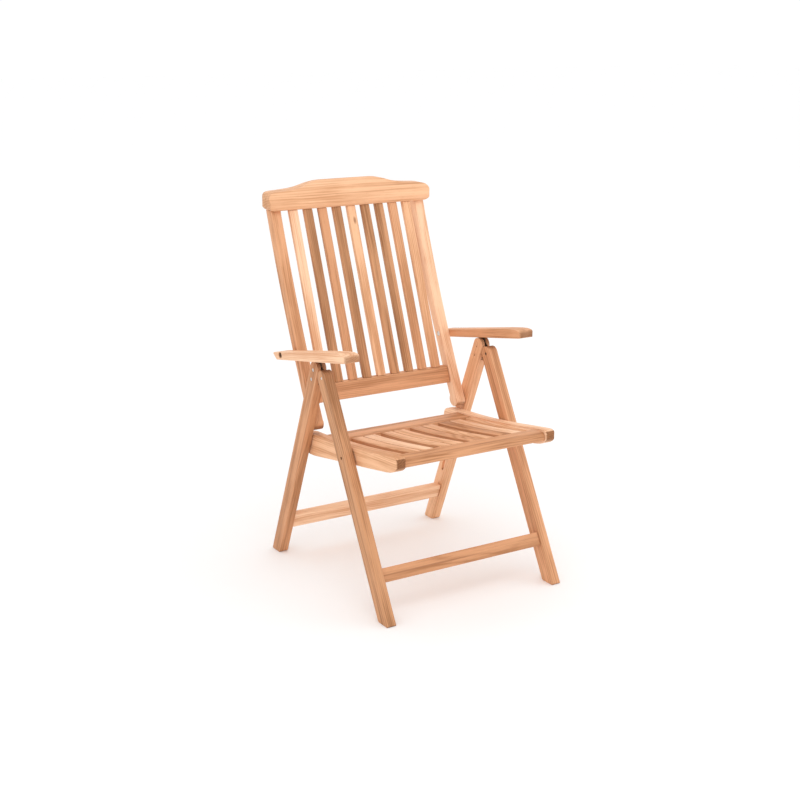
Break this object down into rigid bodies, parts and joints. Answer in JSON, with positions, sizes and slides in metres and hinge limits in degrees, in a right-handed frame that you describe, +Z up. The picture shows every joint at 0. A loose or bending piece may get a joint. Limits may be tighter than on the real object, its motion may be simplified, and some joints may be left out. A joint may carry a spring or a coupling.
{
  "type": "folding garden chair",
  "caption": "High-back folding garden armchair in teak: crossed frames, slatted seat and reclining slatted back, with armrests that lie on the leg tops.",
  "frame": {"origin": "on the floor under the middle of the overall bounding box, chair open and the back upright", "axes": "+Z up; the sitter faces -Y; X runs across the chair and the left and right halves mirror in X"},
  "size_m": [0.615, 0.734, 1.0916],
  "materials": {
    "teak_frame": "oiled, fine sanded teak",
    "teak_stile": "oiled, fine sanded teak",
    "teak_arm": "oiled, fine sanded teak",
    "teak_seat": "oiled, fine sanded teak",
    "teak_slat_light": "oiled, fine sanded teak",
    "teak_slat_mid": "oiled, fine sanded teak",
    "teak_slat_dark": "oiled, fine sanded teak",
    "steel": "plain zinc-plated steel"
  },
  "bodies": {
    "rear_frame": {"rear_leg_left": "teak_frame", "rear_leg_right": "teak_frame", "rear_stretcher": "teak_frame", "hinge_plate_left": "steel", "hinge_plate_right": "steel", "plate_screw_1_left": "steel", "plate_screw_1_right": "steel", "plate_screw_2_left": "steel", "plate_screw_2_right": "steel"},
    "front_frame": {"front_leg_left": "teak_frame", "front_leg_right": "teak_frame", "front_stretcher": "teak_frame", "hinge_bolt_left": "steel", "hinge_bolt_right": "steel", "seat_pivot_bolt_left": "steel", "seat_pivot_bolt_right": "steel"},
    "seat": {"seat_side_rail_left": "teak_seat", "seat_side_rail_right": "teak_seat", "seat_front_rail": "teak_seat", "seat_rear_rail": "teak_seat", "seat_slat_1": "teak_seat", "seat_slat_2": "teak_seat", "seat_slat_3": "teak_seat", "seat_slat_4": "teak_seat", "seat_slat_5": "teak_seat", "seat_slat_6": "teak_seat", "seat_slat_7": "teak_seat", "seat_slat_8": "teak_seat", "seat_edge_slat_left": "teak_seat", "seat_edge_slat_right": "teak_seat", "seat_slide_pin_left": "steel", "seat_slide_pin_right": "steel"},
    "back_bolts": {"back_pivot_bolt_left": "steel", "back_pivot_bolt_right": "steel", "back_spacer_left": "steel", "back_spacer_right": "steel"},
    "backrest": {"back_stile_left": "teak_stile", "back_stile_right": "teak_stile", "back_crest": "teak_slat_mid", "back_lower_rail": "teak_stile", "back_slat_1": "teak_slat_light", "back_slat_2": "teak_slat_mid", "back_slat_3": "teak_slat_mid", "back_slat_4": "teak_slat_mid", "back_slat_5": "teak_slat_light", "back_slat_6": "teak_slat_dark", "back_slat_7": "teak_slat_dark", "back_slat_8": "teak_slat_mid", "back_slat_9": "teak_slat_light"},
    "arm_sleeve_left": {"arm_spacer_left": "steel"},
    "arm_pin_left": {"arm_bolt_left": "steel"},
    "arm_left": {"armrest_left": "teak_arm", "arm_rack_left": "steel"},
    "arm_sleeve_right": {"arm_spacer_right": "steel"},
    "arm_pin_right": {"arm_bolt_right": "steel"},
    "arm_right": {"armrest_right": "teak_arm", "arm_rack_right": "steel"}
  },
  "joints": [
    {"name": "legs_fold", "type": "hinge", "parent": "rear_frame", "child": "front_frame", "pos_m": [0, -0.0189, 0.6017], "axis": [1, 0, 0], "range_deg": [0, 45]},
    {"name": "seat_swing", "type": "hinge", "parent": "front_frame", "child": "seat", "pos_m": [0, -0.126, 0.4033], "axis": [1, 0, 0], "range_deg": [-89.44, 0]},
    {"name": "back_fold", "type": "hinge", "parent": "rear_frame", "child": "back_bolts", "pos_m": [0, 0.0984, 0.4428], "axis": [1, 0, 0], "range_deg": [0, 35.02]},
    {"name": "back_recline", "type": "hinge", "parent": "back_bolts", "child": "backrest", "pos_m": [0, 0.0984, 0.4428], "axis": [1, 0, 0], "range_deg": [-30, 0]},
    {"name": "arm_tilt_left", "type": "hinge", "parent": "backrest", "child": "arm_sleeve_left", "pos_m": [0, 0.1856, 0.6263], "axis": [1, 0, 0], "range_deg": [0, 17.72]},
    {"name": "arm_fold_left", "type": "hinge", "parent": "arm_sleeve_left", "child": "arm_pin_left", "pos_m": [0, 0.1856, 0.6263], "axis": [1, 0, 0], "range_deg": [-95.02, 0]},
    {"name": "arm_lift_left", "type": "hinge", "parent": "arm_pin_left", "child": "arm_left", "pos_m": [0, 0.1856, 0.6263], "axis": [1, 0, 0], "range_deg": [-40, 0]},
    {"name": "arm_tilt_right", "type": "hinge", "parent": "backrest", "child": "arm_sleeve_right", "pos_m": [0, 0.1856, 0.6263], "axis": [1, 0, 0], "range_deg": [0, 17.72]},
    {"name": "arm_fold_right", "type": "hinge", "parent": "arm_sleeve_right", "child": "arm_pin_right", "pos_m": [0, 0.1856, 0.6263], "axis": [1, 0, 0], "range_deg": [-95.02, 0]},
    {"name": "arm_lift_right", "type": "hinge", "parent": "arm_pin_right", "child": "arm_right", "pos_m": [0, 0.1856, 0.6263], "axis": [1, 0, 0], "range_deg": [-40, 0]}
  ],
  "couplings": [
    {"joint": "seat_swing", "follows": "legs_fold", "ratio": -1.987},
    {"joint": "back_fold", "follows": "legs_fold", "ratio": 0.77778},
    {"joint": "arm_tilt_left", "follows": "back_recline", "ratio": -0.59},
    {"joint": "arm_fold_left", "follows": "legs_fold", "ratio": -2.1111},
    {"joint": "arm_tilt_right", "follows": "back_recline", "ratio": -0.59},
    {"joint": "arm_fold_right", "follows": "legs_fold", "ratio": -2.1111}
  ]
}
